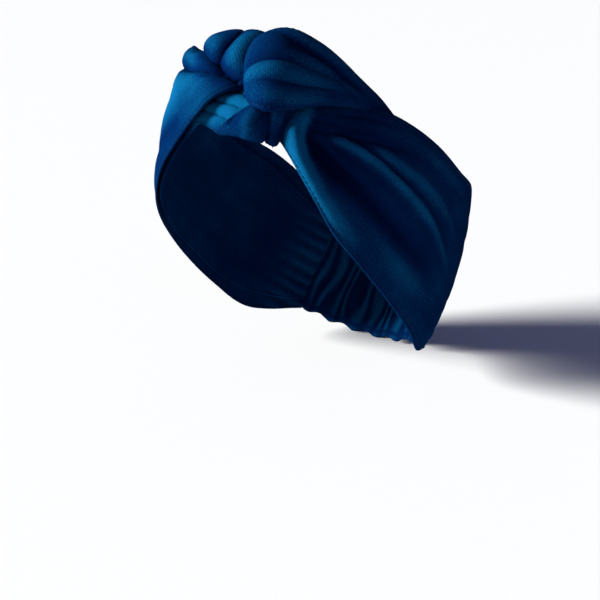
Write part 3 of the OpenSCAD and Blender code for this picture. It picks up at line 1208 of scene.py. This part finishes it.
@dataclass(frozen=True)
class Tack:
    """The bar of stitches that holds one end of the elastic inside the casing."""

    left: bool
    turn: float = 159.6
    rise: float = -14.0
    width: float = 44.0
    share: float = 0.86
    lift: float = 3.75

    def lines(self) -> Seam:
        """Follows the elastic's end.

        Returns:
            The line of the tack's stitches.
        """
        rises = self.rise + self.width / 2 * np.linspace(self.share, -self.share, 30)
        turns = np.full(len(rises), self.turn if self.left else -self.turn)
        on_head = HEAD.on_head(turns, rises)
        outs = HEAD.normals(on_head)
        return [(on_head + outs * self.lift, outs)]


# ---------------- The band


@dataclass
class Headband:
    """The whole band: two strips, the nape's casing and elastic, and all the stitches."""

    bend_start: Place = (0.0, 0.026, -0.0234)
    bend_end: Place = (0.0, 0.064, -0.0575)
    joint_margin: float = 2.5
    left: Strip = field(
        default_factory=lambda: Strip("left_strip_cloth", LEFT_STATIONS, LEFT_FOLDS, 1.0, 12.9, 3.0)
    )
    right: Strip = field(
        default_factory=lambda: Strip("right_strip_cloth", RIGHT_STATIONS, RIGHT_FOLDS, -1.0, 20.75, 11.0)
    )
    casing: NapeCasing = field(default_factory=NapeCasing)

    def build(self) -> None:
        """Builds every piece and dresses it; the nape's pieces are tied to the rear body."""
        jersey, thread, elastic = Jersey().make(), Thread().make(), Elastic().make()
        for strip, side in ((self.left, "left"), (self.right, "right")):
            piece = self._piece(strip.build(), jersey, f"{side}_strip")
            hems = []
            for face, hem in ((False, f"{side}_crown_hem"), (True, f"{side}_face_hem")):
                row = StitchRow(pitch=strip.stitch_pitch).mesh(f"{hem}_thread", strip.hem_lines(face))
                hems.append(self._piece(row, thread, f"{hem}_stitches"))
            for bent in (piece, *hems):
                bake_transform(bent)

        cloth = self._piece(self.casing.build(), jersey, "nape_casing")
        rows = {
            "casing_crown_stitches": self.casing.edge_line(False),
            "casing_neck_stitches": self.casing.edge_line(True),
            "left_joint_stitches": self.casing.cross_line(True, self.joint_margin),
            "right_joint_stitches": self.casing.cross_line(False, self.joint_margin),
            "elastic_left_tack": Tack(True).lines(),
            "elastic_right_tack": Tack(False).lines(),
        }
        threads = []
        for node, lines in rows.items():
            row = StitchRow().mesh(f"{node.replace('_stitches', '')}_thread", lines)
            threads.append(self._piece(row, thread, node))
        for piece in (cloth, *threads):
            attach(piece, "rear")

        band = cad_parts["elastic_band"]
        self._paint(band, elastic)
        log.info("elastic_band keeps its shape and gets a woven finish")

    def _piece(self, piece: Piece, material: Material, node: str) -> Piece:
        """Gives a new piece its finish, puts it in a node's place and reports it.

        Args:
            piece: The new piece.
            material: Its finish.
            node: The node that it stands for.

        Returns:
            The same piece.
        """
        self._paint(piece, material)
        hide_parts(node)
        log.info("%s: %d points, %s", piece.name, len(piece.data.vertices), material.name)
        return piece

    @staticmethod
    def _paint(piece: Piece, material: Material) -> None:
        """Puts one material on the whole of a piece."""
        piece.data.materials.clear()
        piece.data.materials.append(material)


# ---------------- The studio


@dataclass(frozen=True)
class Sun:
    """A broad distant light: where it stands, its strength, its spread in degrees, its colour."""

    name: str
    towards: Place
    strength: float
    spread: float
    colour: Colour

    def hang(self) -> None:
        """Adds the light to the scene."""
        data = bpy.data.lights.new(self.name, "SUN")
        data.energy, data.angle, data.color = self.strength, math.radians(self.spread), self.colour
        lamp = add_object(self.name, data)
        lamp.rotation_euler = Vector(self.towards).to_track_quat("Z", "Y").to_euler()


@dataclass(frozen=True)
class Studio:
    """Pale floor, soft lights and the camera."""

    turn: float = 35.0
    height: float = 15.0
    distance: float = 0.70
    aim_turn: float = 35.814
    aim_height: float = 20.340
    lens: float = 78.33
    floor_size: float = 8.0
    floor_gap: float = 0.0005
    key: Sun = Sun("key", (-0.75, -0.60, 0.29), 12.8, 20.0, (1.0, 1.0, 0.96))
    fill: Sun = Sun("fill", (0.80, -0.50, 0.33), 0.35, 60.0, (0.12, 0.18, 1.0))
    wall: Colour = (0.90, 0.90, 0.92)
    sky: Colour = (0.056, 0.060, 0.100)

    def build(self) -> None:
        """Builds the floor, the sky, the lights and the camera."""
        self._floor()
        self._sky()
        self.key.hang()
        self.fill.hang()
        self._camera()
        bpy.context.scene.view_settings.view_transform = "Standard"

    def _floor(self) -> None:
        """Lays a plain pale floor under the band."""
        bm = bmesh.new()
        bmesh.ops.create_grid(bm, x_segments=2, y_segments=2, size=self.floor_size / 2)
        bmesh.ops.translate(bm, verts=bm.verts, vec=(0.0, 0.0, CAD_BOX[0].z - self.floor_gap))
        data = bpy.data.meshes.new("floor")
        bm.to_mesh(data)
        bm.free()
        data.materials.append(PaleFloor().make())
        add_object("floor", data)

    def _sky(self) -> None:
        """Sets a dim blue sky over a low pale band, like the wall of a studio."""
        world = bpy.data.worlds.new("sky")
        world.use_nodes = True
        book = NodeBook(world.node_tree)
        way = book.node("ShaderNodeTexCoord", {}, {}).outputs["Generated"]
        height = book.node("ShaderNodeSeparateXYZ", {}, {0: way}).outputs["Z"]
        stops = ((0.10, self.wall), (0.16, self.sky), (1.0, self.sky))
        bands = book.node("ShaderNodeValToRGB", {"stops": stops}, {0: height}).outputs[0]
        light = book.node("ShaderNodeBackground", {}, {"Color": bands}).outputs[0]
        book.node("ShaderNodeOutputWorld", {}, {"Surface": light})
        bpy.context.scene.world = world

    @staticmethod
    def _way(turn: float, height: float) -> Vector:
        """The direction from the band to a viewer at that turn and height, in degrees."""
        a, e = math.radians(turn), math.radians(height)
        return Vector((math.sin(a) * math.cos(e), -math.cos(a) * math.cos(e), math.sin(e)))

    def _camera(self) -> None:
        """Places the camera at the wearer's front left, a little above the band."""
        data = bpy.data.cameras.new("camera")
        data.lens, data.sensor_width = self.lens, 36.0
        data.clip_start, data.clip_end = 0.01, 50.0
        camera = add_object("camera", data)
        back = self._way(self.aim_turn, self.aim_height)
        right = Vector((-back.y, back.x, 0.0)).normalized()
        turned = Matrix((right, back.cross(right), back)).transposed().to_4x4()
        camera.matrix_world = Matrix.Translation(self._way(self.turn, self.height) * self.distance) @ turned
        bpy.context.scene.camera = camera


def main() -> None:
    """Builds the band and its studio."""
    logging.basicConfig(level=logging.INFO, format="%(name)s: %(message)s")
    Studio().build()
    Headband().build()


if __name__ == "__main__":
    main()
